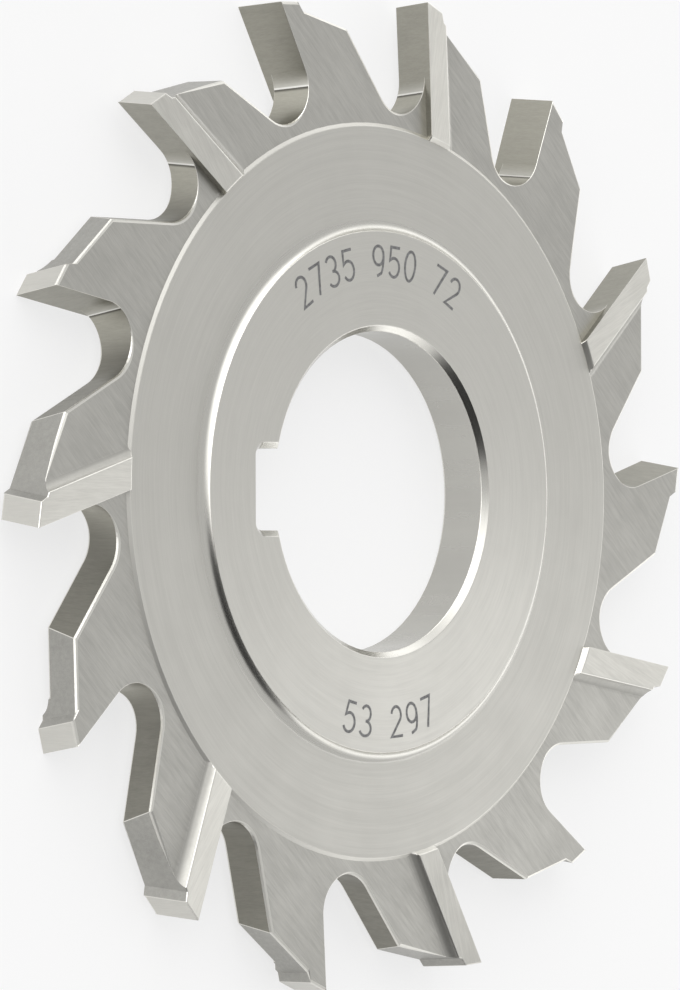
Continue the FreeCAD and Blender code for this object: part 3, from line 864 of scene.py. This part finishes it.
def add_studio(scene, stage):
    """The room that the steel mirrors: a ceiling, a lighter low wall and two screens.

    The wall fades into the ceiling as the height of the direction goes from 0.2 to 0.5. The
    bright screen adds light, and the dark one takes it away. Each fades in as the cosine
    between the direction and its own grows over a range.
    """
    world = bpy.data.worlds.new("studio")
    scene.world = world
    world.use_nodes = True
    world.node_tree.nodes.clear()
    nodes = Nodes(world.node_tree)
    direction = nodes.add("ShaderNodeTexCoord").outputs["Generated"]
    upwards = nodes.vector("DOT_PRODUCT", direction, (0.0, 0.0, 1.0))
    wall = nodes.smooth(upwards, 0.2, 0.5, stage.ceiling + stage.low_wall, stage.ceiling)
    to_bright = nodes.vector("DOT_PRODUCT", direction, BRIGHT_SCREEN)
    bright = nodes.smooth(to_bright, 0.45, 0.9, 0.0, stage.bright_side)
    to_dark = nodes.vector("DOT_PRODUCT", direction, DARK_SCREEN)
    dark = nodes.smooth(to_dark, 0.7, 0.86, 1.0, stage.dark_side)
    strength = nodes.math("MULTIPLY", nodes.math("ADD", wall, bright), dark)
    light = {"Color": (1.0, 1.0, 1.0, 1.0), "Strength": strength}
    background = nodes.add("ShaderNodeBackground", light)
    nodes.add("ShaderNodeOutputWorld", {"Surface": background.outputs["Background"]})
    scene.view_settings.view_transform = "Standard"


def add_hub_card(stage):
    """A small round card of light. Its power is its brightness times pi times its area."""
    light = bpy.data.lights.new("hub_card", "AREA")
    light.shape, light.size = "DISK", CARD_WIDTH
    light.energy = stage.card * pi * pi * (light.size / 2) ** 2
    card = add_object("hub_card", light)
    place, target = Vector(CARD_PLACE) * MM, Vector(CARD_TARGET) * MM
    turn = (place - target).to_track_quat("Z", "Y").to_matrix().to_4x4()
    card.matrix_world = Matrix.Translation(place) @ turn


class CUTTER_OT_stage(bpy.types.Operator):
    """Sets the cutter on a pale floor in soft studio light, with the camera of the photo"""

    bl_idname = "cutter.stage"
    bl_label = "Stage"

    def execute(self, context):
        stage = context.scene.cutter_stage
        add_camera(context.scene)
        add_floor(stage)
        add_studio(context.scene, stage)
        add_hub_card(stage)
        return {"FINISHED"}


class CUTTER_PT_panel(bpy.types.Panel):
    """The cutter's sizes, colours and steps"""

    bl_idname = "CUTTER_PT_panel"
    bl_label = "Side and Face Cutter"
    bl_space_type = "VIEW_3D"
    bl_region_type = "UI"
    bl_category = "Cutter"

    def draw(self, context):
        for group in GROUPS:
            values = getattr(context.scene, group)
            box = self.layout.box()
            for name in values.__annotations__:
                box.prop(values, name)
        for operator in OPERATORS:
            self.layout.operator(operator.bl_idname)


GROUPS = {
    "cutter_edges": CutterEdges,
    "cutter_finish": CutterFinish,
    "cutter_numbers": CutterNumbers,
    "cutter_stage": CutterStage,
}
OPERATORS = (CUTTER_OT_body, CUTTER_OT_numbers, CUTTER_OT_stage)
CLASSES = (*GROUPS.values(), *OPERATORS, CUTTER_PT_panel)


def register():
    for item in CLASSES:
        bpy.utils.register_class(item)
    for name, group in GROUPS.items():
        setattr(bpy.types.Scene, name, bpy.props.PointerProperty(type=group))


def unregister():
    for name in GROUPS:
        delattr(bpy.types.Scene, name)
    for item in reversed(CLASSES):
        bpy.utils.unregister_class(item)


def main():
    register()
    bpy.ops.cutter.body()
    bpy.ops.cutter.numbers()
    bpy.ops.cutter.stage()


if __name__ == "__main__":
    main()
